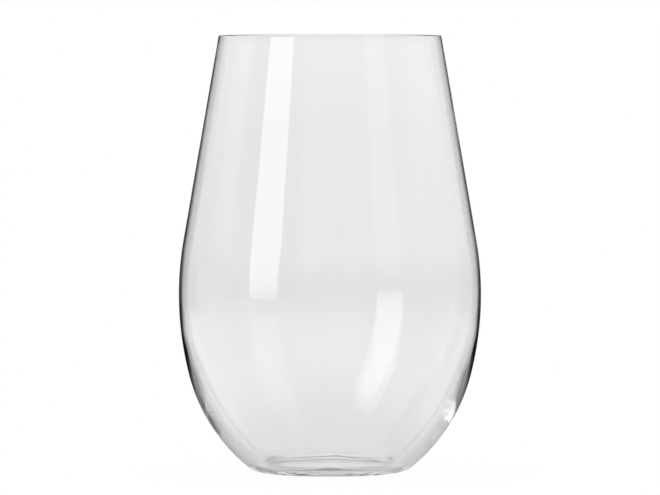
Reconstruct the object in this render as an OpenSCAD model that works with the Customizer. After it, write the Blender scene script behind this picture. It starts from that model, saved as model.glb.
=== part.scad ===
// Stemless wine glass, one piece of clear blown glass.
// Its section is one closed outline turned about the upright axis. The outer
// and the inner face are each a run of arcs that meet without a corner, and the
// glass between them thins from the heavy heel to the fine lip.

/* [Overall size] */
// Height from the table to the top of the lip
glass_height = 130; // [105:1:170]
// Outside diameter at the lip
rim_diameter = 66.3; // [50:0.1:84]
// Outside diameter at the widest part
belly_diameter = 90; // [76:0.5:110]
// Height of the widest part above the table
belly_height = 53; // [42:0.5:66]

/* [Outer curve] */
// Radius of the curve from the widest part into the straight side
shoulder_arc = 94; // [40:1:200]
// Reach of the round lower bowl, against the flatter side above it
bowl_reach = 1.4; // [0.8:0.05:2]
// Angle that the heel turns through before the bowl begins
heel_turn = 40.5; // [30:0.5:50]
// Radius of the heel, where the bowl turns under to the foot
heel_arc = 9; // [5:0.5:12]

/* [Foot] */
// Outside diameter of the flat ring that stands on the table
foot_diameter = 38.6; // [32:0.2:46]
// Width of that ring
foot_width = 3; // [1.5:0.25:8]
// Depth of the hollow under the base, inside the ring
hollow_depth = 0.9; // [0.4:0.1:2]

/* [Glass thickness] */
// Thickness at the lip, which is rounded over in the flame
rim_wall = 0.7; // [0.5:0.05:2]
// Thickness at the widest part
belly_wall = 1; // [0.7:0.05:2.5]
// Thickness at the heel, where the glass is heaviest
heel_wall = 3.6; // [2:0.1:5.5]
// Thickness in the middle of the base
base_wall = 2.4; // [1.5:0.1:4]

/* [Smoothness] */
// Largest distance between a curve and the short straight runs that make it up
curve_error = 0.01; // [0.005:0.005:0.05]
// Largest turn between two of those runs, in degrees
curve_step = 15; // [5:5:20]

/* [Hidden] */
$fn = 180;

OUTWARD = [1, 0];
UPWARD = [0, 1];
OUTER_FACE = 1;
INNER_FACE = -1;

// An arc leaves p in direction lean and ends at q. Its turn, its signed radius, and the
// point at a share of its length
function arc_turn(p, lean, q) = 2 * atan2(cross(lean, q - p), lean * (q - p));
function arc_radius(p, lean, q) = (q - p) * (q - p) / (2 * cross(lean, q - p));
function arc_point(p, lean, q, share) =
    let (
        a = share * arc_turn(p, lean, q),
        along = sin(a) * lean,
        across = (1 - cos(a)) * [-lean.y, lean.x]
    )
    p + arc_radius(p, lean, q) * (along + across);

// Points of the arc after p, close enough together to look round
function arc(p, lean, q) =
    let (
        fine = 2 * acos(1 - curve_error / abs(arc_radius(p, lean, q))),
        count = ceil(abs(arc_turn(p, lean, q)) / min(curve_step, fine))
    )
    [for (i = [1 : count]) arc_point(p, lean, q, i / count)];

// Direction at one end of an arc that spans chord and has direction lean at its other end
function far_lean(lean, chord) = 2 * (lean * chord) / (chord * chord) * chord - lean;

// Point where two arcs join smoothly on the way from p, in direction lean, to q, in
// direction end_lean; reach is the first arc's tangent length over the second's
function arc_join(p, lean, q, end_lean, reach) =
    let (
        chord = q - p,
        bend = 2 * reach * (1 - lean * end_lean),
        pull = chord * (reach * lean + end_lean),
        second = (sqrt(pull * pull + bend * (chord * chord)) - pull) / bend,
        first = reach * second,
        low_corner = p + first * lean,
        high_corner = q - second * end_lean
    )
    low_corner + (high_corner - low_corner) * first / (first + second);

// The round lip, and the direction square to a straight side that touches it and a shoulder
lip_radius = rim_wall / 2;
lip_centre = [rim_diameter / 2 - lip_radius, glass_height - lip_radius];
function side_normal(belly, shoulder, face) =
    let (
        to_lip = lip_centre - belly + shoulder * OUTWARD,
        tilt = atan2(to_lip.y, to_lip.x) - acos((shoulder - face * lip_radius) / norm(to_lip))
    )
    [cos(tilt), sin(tilt)];

// Under the base: the hollow, the flat ring and the heel
hollow_top = [0, hollow_depth];
foot_edge = [foot_diameter / 2, 0];
foot_inner_edge = foot_edge - foot_width * OUTWARD;
heel_lean = [cos(heel_turn), sin(heel_turn)];
heel_top = foot_edge + heel_arc * [heel_lean.y, 1 - heel_lean.x];

// Outer face: bowl, side, shoulder and straight side
outer_belly = [belly_diameter / 2, belly_height];
bowl_join = arc_join(heel_top, heel_lean, outer_belly, UPWARD, bowl_reach);
bowl_lean = far_lean(heel_lean, bowl_join - heel_top);
outer_normal = side_normal(outer_belly, shoulder_arc, OUTER_FACE);
outer_shoulder = outer_belly + shoulder_arc * (outer_normal - OUTWARD);
outer_lip = lip_centre + lip_radius * outer_normal;
lip_lean = [-outer_normal.y, outer_normal.x];

// Inner face: flat floor, the corner about it, bowl, side, shoulder and straight side
floor_middle = hollow_top + base_wall * UPWARD;
inner_heel = heel_top + heel_wall * [-heel_lean.y, heel_lean.x];
corner_arc = (inner_heel.y - floor_middle.y) / (1 - heel_lean.x);
floor_edge = [inner_heel.x - corner_arc * heel_lean.y, floor_middle.y];
inner_belly = outer_belly - belly_wall * OUTWARD;
inner_join = arc_join(inner_heel, heel_lean, inner_belly, UPWARD, bowl_reach);
inner_lean = far_lean(heel_lean, inner_join - inner_heel);
inner_arc = shoulder_arc - belly_wall;
inner_normal = side_normal(inner_belly, inner_arc, INNER_FACE);
inner_shoulder = inner_belly + inner_arc * (inner_normal - OUTWARD);
inner_lip = lip_centre - lip_radius * inner_normal;

outer_face = concat(
    [hollow_top],
    arc(hollow_top, OUTWARD, foot_inner_edge),
    [foot_edge],
    arc(foot_edge, OUTWARD, heel_top),
    arc(heel_top, heel_lean, bowl_join),
    arc(bowl_join, bowl_lean, outer_belly),
    arc(outer_belly, UPWARD, outer_shoulder),
    [outer_lip]
);
inner_face = concat(
    [floor_middle, floor_edge],
    arc(floor_edge, OUTWARD, inner_heel),
    arc(inner_heel, heel_lean, inner_join),
    arc(inner_join, inner_lean, inner_belly),
    arc(inner_belly, UPWARD, inner_shoulder)
);
inner_face_down = [for (i = [len(inner_face) - 1 : -1 : 0]) inner_face[i]];

module glass_bowl() {
    color([0.86, 0.88, 0.88, 0.35])
        rotate_extrude()
            polygon(concat(outer_face, arc(outer_lip, lip_lean, inner_lip), inner_face_down));
}

glass_bowl();
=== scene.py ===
import math

import bpy
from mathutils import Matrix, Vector


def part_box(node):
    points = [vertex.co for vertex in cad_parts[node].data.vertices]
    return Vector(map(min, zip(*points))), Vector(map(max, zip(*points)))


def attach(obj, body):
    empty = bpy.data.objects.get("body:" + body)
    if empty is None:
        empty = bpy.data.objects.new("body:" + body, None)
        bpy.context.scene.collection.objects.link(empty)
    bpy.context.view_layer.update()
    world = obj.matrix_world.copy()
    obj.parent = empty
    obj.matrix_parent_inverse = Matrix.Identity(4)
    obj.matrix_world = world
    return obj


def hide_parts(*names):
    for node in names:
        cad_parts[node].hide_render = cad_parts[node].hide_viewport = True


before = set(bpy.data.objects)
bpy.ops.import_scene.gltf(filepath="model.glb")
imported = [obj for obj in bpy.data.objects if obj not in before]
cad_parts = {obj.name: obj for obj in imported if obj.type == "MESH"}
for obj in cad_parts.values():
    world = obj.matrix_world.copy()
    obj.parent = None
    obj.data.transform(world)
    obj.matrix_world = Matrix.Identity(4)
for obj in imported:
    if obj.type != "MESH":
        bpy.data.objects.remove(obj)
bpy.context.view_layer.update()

# The glass bowl: one piece of clear soda-lime glass, blown in a turning mould.
# Its wall thins from a heavy heel to a lip that was cut and then melted round
# in a flame. Nothing is fixed to it.
MM = 0.001
OUTWARD = Vector((1, 0))
UPWARD = Vector((0, 1))

_, bowl_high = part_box("glass_bowl")
glass_height = bowl_high.z
belly_radius = bowl_high.x
belly_height = 53 * MM
rim_radius = 33.15 * MM
shoulder_arc = 94 * MM
bowl_reach = 1.4
heel_turn = math.radians(40.5)
heel_arc = 9 * MM
foot_radius = 19.3 * MM
foot_width = 3 * MM
hollow_depth = 0.9 * MM
rim_wall = 0.7 * MM
belly_wall = 1 * MM
heel_wall = 3.6 * MM
base_wall = 2.4 * MM


def cross(a, b):
    return a.x * b.y - a.y * b.x


def far_lean(lean, chord):
    """Direction at the end of an arc that spans chord and sets out in direction lean."""
    return 2 * lean.dot(chord) / chord.length_squared * chord - lean


def arc_join(start, lean, end, end_lean, reach):
    """Point where two arcs join smoothly between two points whose directions are known."""
    chord = end - start
    bend = 2 * reach * (1 - lean.dot(end_lean))
    pull = chord.dot(reach * lean + end_lean)
    second = (math.sqrt(pull * pull + bend * chord.length_squared) - pull) / bend
    first = reach * second
    low_corner = start + first * lean
    high_corner = end - second * end_lean
    return low_corner.lerp(high_corner, first / (first + second))


def side_normal(belly, shoulder, lip_offset):
    """Direction square to the straight side that runs from a shoulder arc to the round lip."""
    to_lip = lip_centre - belly + shoulder * OUTWARD
    tilt = math.atan2(to_lip.y, to_lip.x) - math.acos((shoulder - lip_offset) / to_lip.length)
    return Vector((math.cos(tilt), math.sin(tilt)))


lip_radius = rim_wall / 2
lip_centre = Vector((rim_radius - lip_radius, glass_height - lip_radius))

hollow_top = hollow_depth * UPWARD
foot_edge = foot_radius * OUTWARD
foot_inner_edge = foot_edge - foot_width * OUTWARD
heel_lean = Vector((math.cos(heel_turn), math.sin(heel_turn)))
heel_top = foot_edge + heel_arc * Vector((heel_lean.y, 1 - heel_lean.x))

outer_belly = Vector((belly_radius, belly_height))
bowl_join = arc_join(heel_top, heel_lean, outer_belly, UPWARD, bowl_reach)
outer_normal = side_normal(outer_belly, shoulder_arc, lip_radius)
outer_shoulder = outer_belly + shoulder_arc * (outer_normal - OUTWARD)
outer_lip = lip_centre + lip_radius * outer_normal

floor_middle = hollow_top + base_wall * UPWARD
inner_belly = outer_belly - belly_wall * OUTWARD
inner_heel = heel_top + heel_wall * Vector((-heel_lean.y, heel_lean.x))
inner_join = arc_join(inner_heel, heel_lean, inner_belly, UPWARD, bowl_reach)
corner_arc = (inner_heel.y - floor_middle.y) / (1 - heel_lean.x)
floor_edge = Vector((inner_heel.x - corner_arc * heel_lean.y, floor_middle.y))
inner_arc = shoulder_arc - belly_wall
inner_normal = side_normal(inner_belly, inner_arc, -lip_radius)
inner_shoulder = inner_belly + inner_arc * (inner_normal - OUTWARD)
inner_lip = lip_centre - lip_radius * inner_normal

RUN_LENGTH = 1.2 * MM
RUN_TURN = math.radians(2.5)
ROUND_STEPS = 240
MERGE_DISTANCE = 0.001 * MM


def draw_arc(start, lean, end):
    """Spins the selected point along the arc that leaves start in direction lean and stops at end."""
    chord = end - start
    turn = 2 * math.atan2(cross(lean, chord), lean.dot(chord))
    radius = chord.length_squared / (2 * cross(lean, chord))
    centre = start + radius * Vector((-lean.y, lean.x))
    steps = math.ceil(max(abs(turn) / RUN_TURN, abs(turn * radius) / RUN_LENGTH))
    bpy.ops.mesh.spin(steps=steps, angle=turn, center=(centre.x, 0, centre.y), axis=(0, 1, 0))


def draw_line(start, end):
    """Extrudes the selected point straight from start to end, in short runs."""
    steps = math.ceil((end - start).length / (2 * RUN_LENGTH))
    run = (end - start) / steps
    for _ in range(steps):
        bpy.ops.mesh.extrude_region_move(TRANSFORM_OT_translate={"value": (run.x, 0, run.y)})


bpy.ops.object.select_all(action="DESELECT")
bpy.ops.mesh.primitive_plane_add(size=RUN_LENGTH)
glass = bpy.context.object
glass.name = "glass_bowl_clear"
bpy.ops.object.mode_set(mode="EDIT")
bpy.ops.mesh.merge(type="CENTER")
bpy.ops.transform.translate(value=(hollow_top.x, 0, hollow_top.y))

here, lean = hollow_top, OUTWARD
section = [
    ("arc", foot_inner_edge), ("line", foot_edge), ("arc", heel_top), ("arc", bowl_join),
    ("arc", outer_belly), ("arc", outer_shoulder), ("line", outer_lip), ("arc", inner_lip),
    ("line", inner_shoulder), ("arc", inner_belly), ("arc", inner_join), ("arc", inner_heel),
    ("arc", floor_edge), ("line", floor_middle),
]
for kind, there in section:
    if kind == "arc":
        draw_arc(here, lean, there)
        lean = far_lean(lean, there - here)
    else:
        draw_line(here, there)
        lean = (there - here).normalized()
    here = there

bpy.ops.mesh.select_all(action="SELECT")
bpy.ops.mesh.spin(steps=ROUND_STEPS, angle=math.tau, center=(0, 0, 0), axis=(0, 0, 1))
bpy.ops.mesh.select_all(action="SELECT")
bpy.ops.mesh.remove_doubles(threshold=MERGE_DISTANCE)
bpy.ops.mesh.normals_make_consistent(inside=False)
bpy.ops.object.mode_set(mode="OBJECT")
bpy.ops.object.shade_smooth()

# The bottom cools first, against the mould, and that leaves it slightly uneven.
UNEVEN_DEPTH = 0.04 * MM
UNEVEN_GRAIN = 6 * MM
UNEVEN_TOP = 22 * MM
uneven = glass.vertex_groups.new(name="uneven_bottom")
for vertex in glass.data.vertices:
    uneven.add([vertex.index], max(0, 1 - vertex.co.z / UNEVEN_TOP), "REPLACE")
chill = bpy.data.textures.new("uneven_bottom", "CLOUDS")
chill.noise_scale = UNEVEN_GRAIN
bpy.ops.object.modifier_add(type="DISPLACE")
displace = glass.modifiers[-1]
displace.texture = chill
displace.texture_coords = "LOCAL"
displace.vertex_group = uneven.name
displace.strength = UNEVEN_DEPTH
displace.mid_level = 1
bpy.ops.object.modifier_apply(modifier=displace.name)

REFRACTIVE_INDEX = 1.5
NOISE_MIDDLE = (0.3, 0.7)
FILM_ROUGHNESS = 0.012
LEAST_CLEAR = 0.978
MOST_CLEAR = 0.99
EDGE_PAINTED_SHADE = 0.8
EDGE_SHADE_FROM = 0.68
OFF_FLOOR = (0.45, 0.2)
OFF_FOOT = (-0.97, -0.85)
RIPPLE_DEPTH = 0.1 * MM
RIPPLE_STRENGTH = 0.5
clear_glass = bpy.data.materials.new("clear_glass_fire_polished")
clear_glass.use_nodes = True
nodes, links = clear_glass.node_tree.nodes, clear_glass.node_tree.links
shader = nodes["Principled BSDF"]
shader.inputs["Transmission Weight"].default_value = 1
shader.inputs["IOR"].default_value = REFRACTIVE_INDEX
place = nodes.new("ShaderNodeTexCoord")


def grain(scale, detail):
    """Noise over the glass, on its own coordinates."""
    noise = nodes.new("ShaderNodeTexNoise")
    noise.inputs["Scale"].default_value = scale
    noise.inputs["Detail"].default_value = detail
    links.new(place.outputs["Object"], noise.inputs["Vector"])
    return noise.outputs["Fac"]


def spread(noise, first, second):
    """Spreads the middle of a noise's range between two values."""
    node = nodes.new("ShaderNodeMapRange")
    node.inputs["From Min"].default_value = NOISE_MIDDLE[0]
    node.inputs["From Max"].default_value = NOISE_MIDDLE[1]
    node.inputs["To Min"].default_value = first
    node.inputs["To Max"].default_value = second
    links.new(noise, node.inputs["Value"])
    return node.outputs["Result"]


def maths(operation, first, second=None):
    """Adds a Math node to the tree at hand and returns its output."""
    node = nodes.new("ShaderNodeMath")
    node.operation = operation
    for socket, value in zip(node.inputs, (first, second)):
        if isinstance(value, bpy.types.NodeSocket):
            links.new(value, socket)
        elif value is not None:
            socket.default_value = value
    return node.outputs[0]


def share_between(value, low, high):
    """Share from 0 to 1 by which a value has gone from low to high, eased at both ends."""
    node = nodes.new("ShaderNodeMapRange")
    node.interpolation_type = "SMOOTHSTEP"
    node.inputs["From Min"].default_value = low
    node.inputs["From Max"].default_value = high
    links.new(value, node.inputs["Value"])
    return node.outputs["Result"]


def where_all(*shares):
    """Share of the place where all the given shares meet."""
    product = shares[0]
    for share in shares[1:]:
        product = maths("MULTIPLY", product, share)
    return product


def rest_of(share):
    """What is left of one when a share is taken away."""
    return maths("SUBTRACT", 1, share)


film = spread(grain(scale=60, detail=3), 0, FILM_ROUGHNESS)
links.new(film, shader.inputs["Roughness"])

# The wall is darkened where it is seen edge-on. A little of that comes from the long way light goes
# through the glass there; most of it is painted shade that draws dark edges.
# The floor of the bowl and the foot, whose surface points up or down, are left out.
clearness = spread(grain(scale=25, detail=2), LEAST_CLEAR, MOST_CLEAR)
angle = nodes.new("ShaderNodeLayerWeight")
surface = nodes.new("ShaderNodeNewGeometry")
slope = nodes.new("ShaderNodeSeparateXYZ")
links.new(place.outputs["Normal"], slope.inputs["Vector"])
edge_on_painted_shade = where_all(
    share_between(angle.outputs["Facing"], EDGE_SHADE_FROM, 1),
    share_between(slope.outputs["Z"], *OFF_FLOOR),
    share_between(slope.outputs["Z"], *OFF_FOOT),
    rest_of(surface.outputs["Backfacing"]),
)
# The base colour is the glass's own uneven clearness with the painted edge shade on top of it.
clearness_and_edge_shade = where_all(clearness, rest_of(maths("MULTIPLY", edge_on_painted_shade, EDGE_PAINTED_SHADE)))
colour = nodes.new("ShaderNodeCombineColor")
for channel in ("Red", "Green", "Blue"):
    links.new(clearness_and_edge_shade, colour.inputs[channel])
links.new(colour.outputs["Color"], shader.inputs["Base Color"])

ripple = nodes.new("ShaderNodeBump")
ripple.inputs["Strength"].default_value = RIPPLE_STRENGTH
ripple.inputs["Distance"].default_value = RIPPLE_DEPTH
links.new(grain(scale=45, detail=1), ripple.inputs["Height"])
links.new(ripple.outputs["Normal"], shader.inputs["Normal"])
glass.data.materials.append(clear_glass)

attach(glass, "root")
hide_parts("glass_bowl")

# The table: a clear gloss sheet that the glass stands on, with the backdrop going on below it.
# To the camera it is as white as the backdrop, and it keeps the glass's shadow.
TABLE_RADIUS = 0.6
TABLE_SIDES = 256
TABLE_COLOUR = (0.8, 0.8, 0.8, 1)
GLOSS_SHARE = 0.3
GLOSS_ROUGHNESS = 0.1
GLOSS_IN_FRONT = (0, -0.06)
SHADOW_SHARE = 0.05
SHADOW_REACH = 0.08
bpy.ops.object.select_all(action="DESELECT")
bpy.ops.mesh.primitive_circle_add(vertices=TABLE_SIDES, radius=TABLE_RADIUS, fill_type="NGON")
table = bpy.context.object
table.name = "table_top"
table_sheet = bpy.data.materials.new("table_clear_gloss")
table_sheet.use_nodes = True
nodes, links = table_sheet.node_tree.nodes, table_sheet.node_tree.links
paint = nodes["Principled BSDF"]
paint.inputs["Base Color"].default_value = TABLE_COLOUR
white = nodes.new("ShaderNodeEmission").outputs[0]
clear = nodes.new("ShaderNodeBsdfTransparent").outputs[0]
gloss = nodes.new("ShaderNodeBsdfAnisotropic")
gloss.inputs["Roughness"].default_value = GLOSS_ROUGHNESS
rays = nodes.new("ShaderNodeLightPath")
place = nodes.new("ShaderNodeTexCoord")
axes = nodes.new("ShaderNodeSeparateXYZ")
links.new(place.outputs["Object"], axes.inputs[0])


def mixed(share, first, second):
    """Mixes two surfaces by a share and returns the mixed surface."""
    mix = nodes.new("ShaderNodeMixShader")
    for socket, value in zip(mix.inputs, (share, first, second)):
        links.new(value, socket)
    return mix.outputs[0]


def length_of(vector):
    """Length of a vector in the tree at hand."""
    node = nodes.new("ShaderNodeVectorMath")
    node.operation = "LENGTH"
    links.new(vector, node.inputs[0])
    return node.outputs["Value"]


mirrored = maths("MINIMUM", rays.outputs["Glossy Depth"], 1)
in_front = share_between(axes.outputs["Y"], *GLOSS_IN_FRONT)
sheet = mixed(where_all(mirrored, in_front, GLOSS_SHARE), clear, gloss.outputs[0])
by_glass = maths("MAXIMUM", rays.outputs["Is Glossy Ray"], rays.outputs["Is Transmission Ray"])
seen_by_glass = mixed(by_glass, paint.outputs[0], sheet)
under_glass = share_between(length_of(place.outputs["Object"]), SHADOW_REACH, 0)
shadow = where_all(under_glass, SHADOW_SHARE)
whitening = where_all(rays.outputs["Is Camera Ray"], rest_of(shadow))
links.new(mixed(whitening, seen_by_glass, white), nodes["Material Output"].inputs["Surface"])
table.data.materials.append(table_sheet)

# The room: a white backdrop that shows through the glass, and the grey walls, floor and ceiling that
# it mirrors. Turn is the angle round the glass, 0 behind it and below 0 to the left, and rise the angle
# above the table, in degrees. A pair says where a part begins and where it shows in full.
world = bpy.data.worlds.new("studio")
bpy.context.scene.world = world
world.use_nodes = True
nodes, links = world.node_tree.nodes, world.node_tree.links
place = nodes.new("ShaderNodeTexCoord")
axes = nodes.new("ShaderNodeSeparateXYZ")
links.new(place.outputs["Generated"], axes.inputs[0])
turn = maths("DEGREES", maths("ARCTAN2", axes.outputs["X"], axes.outputs["Y"]))
rise = maths("DEGREES", maths("ARCSINE", axes.outputs["Z"]))
sideways = maths("ABSOLUTE", turn)


def blended(share, first, second):
    """Mixes two greys of the room by a share, and returns the output."""
    node = nodes.new("ShaderNodeMix")
    links.new(share, node.inputs["Factor"])
    for socket, value in zip((node.inputs["A"], node.inputs["B"]), (first, second)):
        if isinstance(value, bpy.types.NodeSocket):
            links.new(value, socket)
        else:
            socket.default_value = value
    return node.outputs["Result"]


def turn_from(middle):
    """Angle to either side of a middle direction."""
    return maths("ABSOLUTE", maths("SUBTRACT", turn, middle))


# Light that has been mirrored about this often is wandering round inside the wall.
WANDERING = (10, 13)
rays = nodes.new("ShaderNodeLightPath")
mirrorings = rays.outputs["Glossy Depth"]
wandering = share_between(mirrorings, *WANDERING)

# Walls, with a dim screen on the left, a dark corner on the right and the wall at the camera.
LEFT_WALL = 0.68
RIGHT_WALL = 0.73
WALLS_MEET = (-10, 10)
SCREEN = 0.44
SCREEN_TURN = (-50, -62)
SCREEN_RISE = (3, 4.5)
CORNER = 0.05
CORNER_TURN = (35, 55)
CAMERA_WALL = 0.65
CAMERA_WALL_TURN = (110, 140)
walls = blended(share_between(turn, *WALLS_MEET), LEFT_WALL, RIGHT_WALL)
screen = where_all(share_between(turn, *SCREEN_TURN), share_between(rise, *SCREEN_RISE))
walls = blended(screen, walls, SCREEN)
walls = blended(where_all(share_between(turn, *CORNER_TURN), wandering), walls, CORNER)
walls = blended(share_between(sideways, *CAMERA_WALL_TURN), walls, CAMERA_WALL)

# Floor: dim behind the glass, darker in the middle and on the left, and bright to both sides.
FLOOR_RISE = (-3.5, -11)
FLOOR_MIDDLE = 0.33
FLOOR_BEHIND = 0.58
FLOOR_BEHIND_TURN = (5, 12)
FLOOR_LEFT = 0.28
FLOOR_LEFT_TURN = (-7, -10)
FLOOR_LEFT_TOP = (-11, -13.5)
FLOOR_LEFT_FOOT = (-18.5, -15)
FLOOR_BESIDE = 1.12
FLOOR_BESIDE_FAR = (22, 30)
FLOOR_BESIDE_NEAR = (18, 50)
FLOOR_NEAR_RISE = (-14, -22)
FLOOR_BELOW = 0.33
FLOOR_BELOW_RISE = (-28, -50)
floor_behind = blended(share_between(sideways, *FLOOR_BEHIND_TURN), FLOOR_MIDDLE, FLOOR_BEHIND)
on_left = where_all(
    share_between(turn, *FLOOR_LEFT_TURN),
    share_between(rise, *FLOOR_LEFT_TOP),
    share_between(rise, *FLOOR_LEFT_FOOT),
)
floor_behind = blended(on_left, floor_behind, FLOOR_LEFT)
floor_beside = blended(share_between(rise, *FLOOR_BELOW_RISE), FLOOR_BESIDE, FLOOR_BELOW)
beside = blended(
    share_between(rise, *FLOOR_NEAR_RISE),
    share_between(sideways, *FLOOR_BESIDE_FAR),
    share_between(sideways, *FLOOR_BESIDE_NEAR),
)
floor = blended(beside, floor_behind, floor_beside)
room = blended(share_between(rise, *FLOOR_RISE), walls, floor)

# Ceiling, dimmer overhead.
CEILING = 0.98
CEILING_RISE = (7, 13.5)
OVERHEAD = 0.6
OVERHEAD_RISE = (42, 56)
ceiling = blended(share_between(rise, *OVERHEAD_RISE), CEILING, OVERHEAD)
room = blended(share_between(rise, *CEILING_RISE), room, ceiling)

# Grey cloth that hangs about the strip softbox.
GREY_CLOTH = 0.52
GREY_CLOTH_MIDDLE = -123
GREY_CLOTH_REACH = (36, 26)
GREY_CLOTH_FOOT = (-3.5, -2.3)
GREY_CLOTH_TOP = (20, 15)
grey_cloth = where_all(
    share_between(turn_from(GREY_CLOTH_MIDDLE), *GREY_CLOTH_REACH),
    share_between(rise, *GREY_CLOTH_FOOT),
    share_between(rise, *GREY_CLOTH_TOP),
)
room = blended(grey_cloth, room, GREY_CLOTH)

# Dark cloth to both sides of the backdrop, which draws the edges of the glass. Its reach to the side
# is given at the table, and then with each rise at which it changes.
DARK_CLOTH = 0.012
DARK_CLOTH_FOOT = (-12, -6.5)
DARK_CLOTH_TOP = (20, 0)
DARK_CLOTH_REACH = (31, 25)
DARK_CLOTH_CHANGES = [
    ((-8, -5), (27, 22.4)),
    ((-7, 3), (36, 11)),
    ((0, 3.5), (28, 10.7)),
]
within_reach = share_between(sideways, *DARK_CLOTH_REACH)
for change_rise, new_reach in DARK_CLOTH_CHANGES:
    within_new_reach = share_between(sideways, *new_reach)
    within_reach = blended(share_between(rise, *change_rise), within_reach, within_new_reach)
dark_cloth = where_all(
    within_reach,
    share_between(rise, *DARK_CLOTH_FOOT),
    share_between(rise, *DARK_CLOTH_TOP),
)
room = blended(dark_cloth, room, DARK_CLOTH)

# The backdrop between the two dark cloths, as the glass mirrors it.
BACKDROP_LOW = 0.836
BACKDROP_MIDDLE = 1
BACKDROP_REACH = (10, 5)
BACKDROP_FOOT = (-20, -8)
mirrored_backdrop = where_all(
    share_between(turn_from(BACKDROP_MIDDLE), *BACKDROP_REACH),
    share_between(rise, *BACKDROP_FOOT),
)
room = blended(mirrored_backdrop, room, BACKDROP_LOW)

# A white card on the left, which only light that wanders round inside the wall meets.
CARD = 1.65
CARD_MIDDLE = -116
CARD_REACH = (22, 19)
CARD_FOOT = (-3, -2)
CARD_TOP = (12, 9.5)
CARD_LAST_MIRRORINGS = (29, 27)
card = where_all(
    share_between(turn_from(CARD_MIDDLE), *CARD_REACH),
    share_between(rise, *CARD_FOOT),
    share_between(rise, *CARD_TOP),
    share_between(mirrorings, *CARD_LAST_MIRRORINGS),
    wandering,
)
room = blended(card, room, CARD)

# The backdrop as it shows through the glass: lighter at the top and low down, dimmer to both sides.
BACKDROP = 0.815
BACKDROP_TOP = 0.87
BACKDROP_TOP_RISE = (-1.9, -0.7)
BACKDROP_LOW_RISE = (-2.7, -3.6)
BACKDROP_LOWEST = 0.81
BACKDROP_LOWEST_RISE = (-12, -18)
BACKDROP_RIGHT = 0.785
BACKDROP_RIGHT_TURN = (3.7, 4.4)
BACKDROP_LEFT = 0.74
BACKDROP_LEFT_TURN = (-3.9, -4.9)
BACKDROP_LEFT_RISE = (-6, -4)
backdrop = blended(share_between(rise, *BACKDROP_TOP_RISE), BACKDROP, BACKDROP_TOP)
backdrop = blended(share_between(rise, *BACKDROP_LOW_RISE), backdrop, BACKDROP_LOW)
backdrop = blended(share_between(rise, *BACKDROP_LOWEST_RISE), backdrop, BACKDROP_LOWEST)
backdrop = blended(share_between(turn, *BACKDROP_RIGHT_TURN), backdrop, BACKDROP_RIGHT)
left_side = where_all(share_between(turn, *BACKDROP_LEFT_TURN), share_between(rise, *BACKDROP_LEFT_RISE))
backdrop = blended(left_side, backdrop, BACKDROP_LEFT)

BACKGROUND_WHITE = 1
in_glass = blended(maths("MINIMUM", mirrorings, 1), backdrop, room)
by_glass = maths("MAXIMUM", rays.outputs["Is Glossy Ray"], rays.outputs["Is Transmission Ray"])
links.new(blended(by_glass, BACKGROUND_WHITE, in_glass), nodes["Background"].inputs["Color"])

# The strip softbox at the front left, which draws the tall highlight on the wall. It hangs just above
# the table and leans over towards the glass. It is dimmer at its lower end and fades out at its upper
# end, and light that wanders round inside the wall doesn't meet it.
SOFTBOX_DISTANCE = 0.62
SOFTBOX_BASE = 0.028
SOFTBOX_TURN = math.radians(50.5)
SOFTBOX_LEAN = math.radians(20)
SOFTBOX_WIDTH = 0.245
SOFTBOX_LENGTH = 0.72
SOFTBOX_RADIANCE = 1.85
LOWER_END = (0.1, 0)
LOWER_END_DIMMING = 0.5
UPPER_END = (0.8, 1)
half_length = SOFTBOX_LENGTH / 2
middle_distance = SOFTBOX_DISTANCE - half_length * math.sin(SOFTBOX_LEAN)
softbox_middle = Vector((
    -middle_distance * math.sin(SOFTBOX_TURN),
    -middle_distance * math.cos(SOFTBOX_TURN),
    SOFTBOX_BASE + half_length * math.cos(SOFTBOX_LEAN),
))
bpy.ops.object.select_all(action="DESELECT")
bpy.ops.object.light_add(type="AREA", location=softbox_middle)
softbox = bpy.context.object
softbox.rotation_euler = (math.pi / 2 - SOFTBOX_LEAN, 0, -SOFTBOX_TURN)
softbox.data.shape = "RECTANGLE"
softbox.data.size = SOFTBOX_WIDTH
softbox.data.size_y = SOFTBOX_LENGTH
softbox.data.energy = SOFTBOX_RADIANCE * math.pi * SOFTBOX_WIDTH * SOFTBOX_LENGTH
softbox.visible_camera = False
softbox.data.use_nodes = True
nodes, links = softbox.data.node_tree.nodes, softbox.data.node_tree.links
face = nodes.new("ShaderNodeNewGeometry")
axes = nodes.new("ShaderNodeSeparateXYZ")
links.new(face.outputs["Parametric"], axes.inputs[0])
rays = nodes.new("ShaderNodeLightPath")
lower_end = where_all(share_between(axes.outputs["Y"], *LOWER_END), LOWER_END_DIMMING)
upper_end = share_between(axes.outputs["Y"], *UPPER_END)
wandering = share_between(rays.outputs["Glossy Depth"], *WANDERING)
lit = where_all(rest_of(lower_end), rest_of(upper_end), rest_of(wandering))
links.new(lit, nodes["Emission"].inputs["Strength"])

# The camera, just above the lip and two metres off, as a long lens sees the glass.
CAMERA_DISTANCE = 2.0
CAMERA_HEIGHT = 0.1475
AIM_HEIGHT = 0.0669
FIELD_WIDTH = 0.1963
bpy.ops.object.camera_add(location=(0, -CAMERA_DISTANCE, CAMERA_HEIGHT))
camera = bpy.context.object
to_aim = Vector((0, 0, AIM_HEIGHT)) - camera.location
camera.rotation_euler = to_aim.to_track_quat("-Z", "Y").to_euler()
camera.data.lens = camera.data.sensor_width * to_aim.length / FIELD_WIDTH
bpy.context.scene.camera = camera
bpy.context.scene.view_settings.view_transform = "Standard"

# Light runs round inside the wall and the heavy heel many times before it leaves the glass.
LIGHT_PATH = 40
MIRRORINGS = 28
bpy.context.scene.cycles.max_bounces = LIGHT_PATH
bpy.context.scene.cycles.glossy_bounces = MIRRORINGS
bpy.context.scene.cycles.transmission_bounces = LIGHT_PATH
